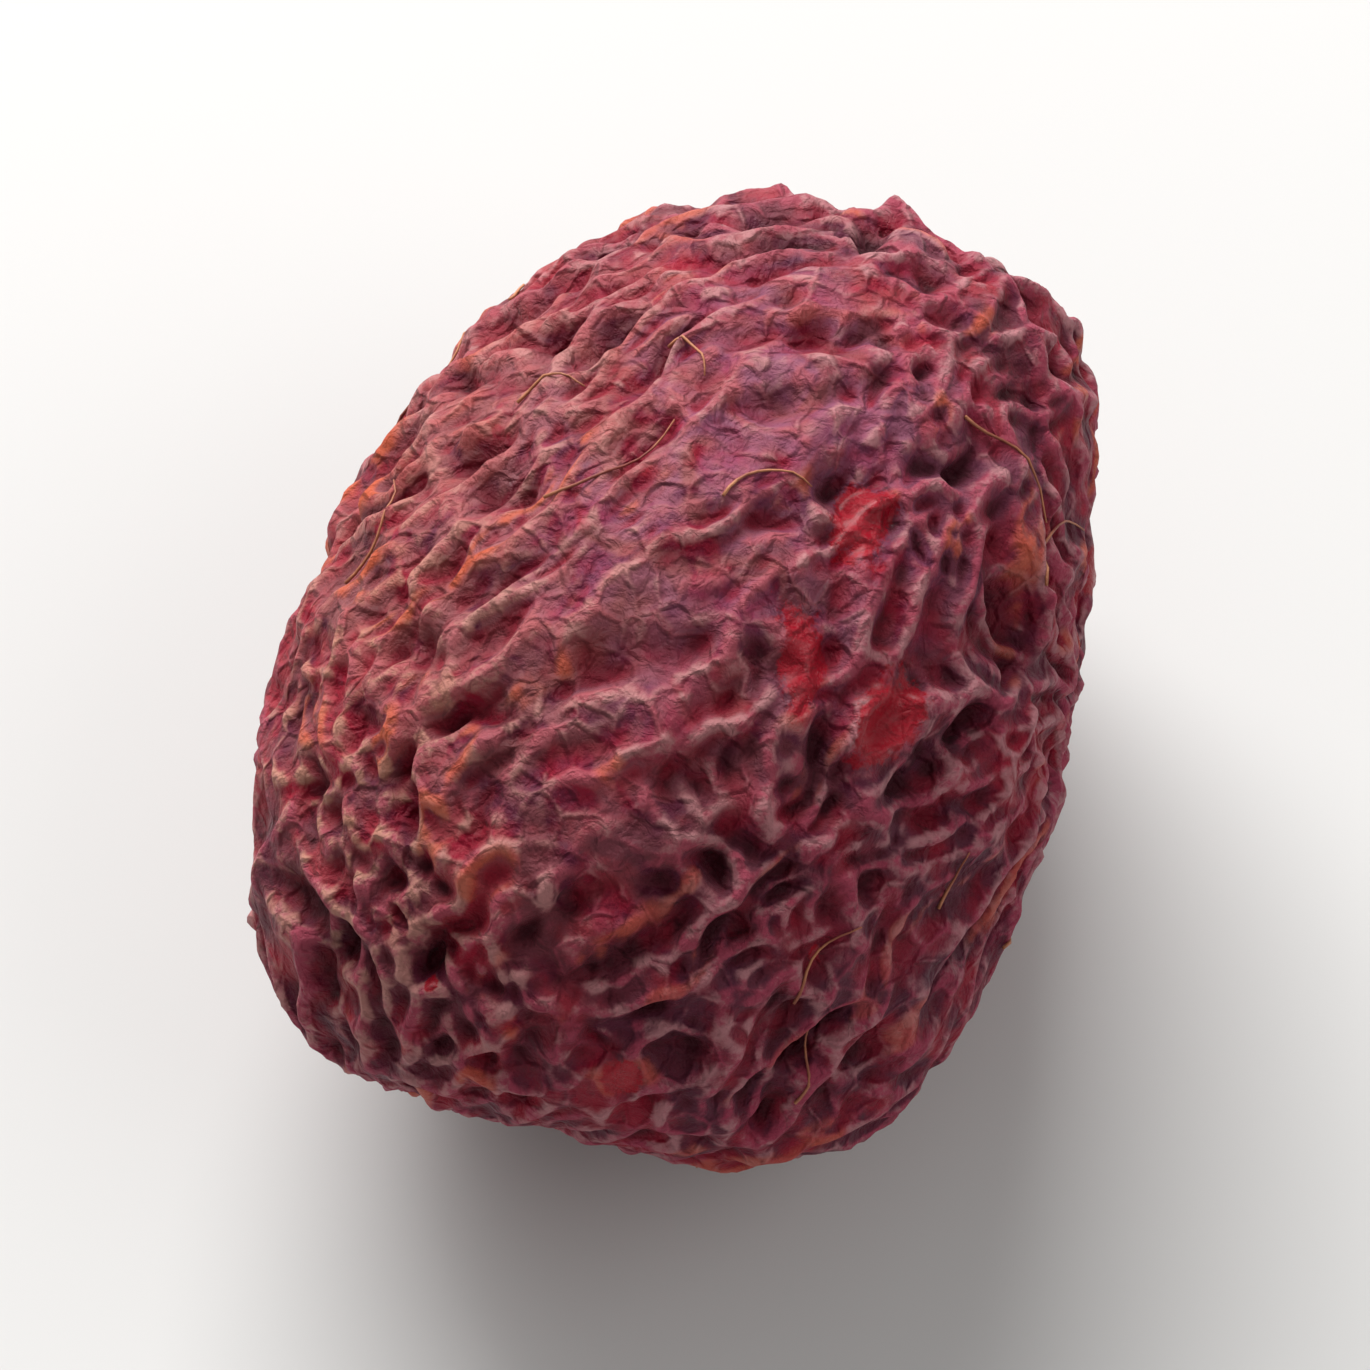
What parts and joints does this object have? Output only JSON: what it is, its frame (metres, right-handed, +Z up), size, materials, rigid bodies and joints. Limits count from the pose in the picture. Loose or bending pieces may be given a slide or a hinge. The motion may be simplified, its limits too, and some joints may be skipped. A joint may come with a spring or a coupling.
{
  "type": "dried raspberry",
  "caption": "Dried raspberry lying on its side: a wrinkled hollow thimble of drupelets with a raised net, sunken skin, seed bumps and a pleated open end.",
  "frame": {"origin": "on the surface it lies on, under the middle of its bounding box", "axes": "+Y along the berry towards its open end, +Z up from the flat spot it rests on, +X across it"},
  "size_m": [0.0114, 0.0152, 0.0107],
  "materials": {
    "skin": "dry leathery dark red skin, paler along its ridges"
  },
  "bodies": {
    "root": {"berry": "skin"}
  },
  "joints": []
}
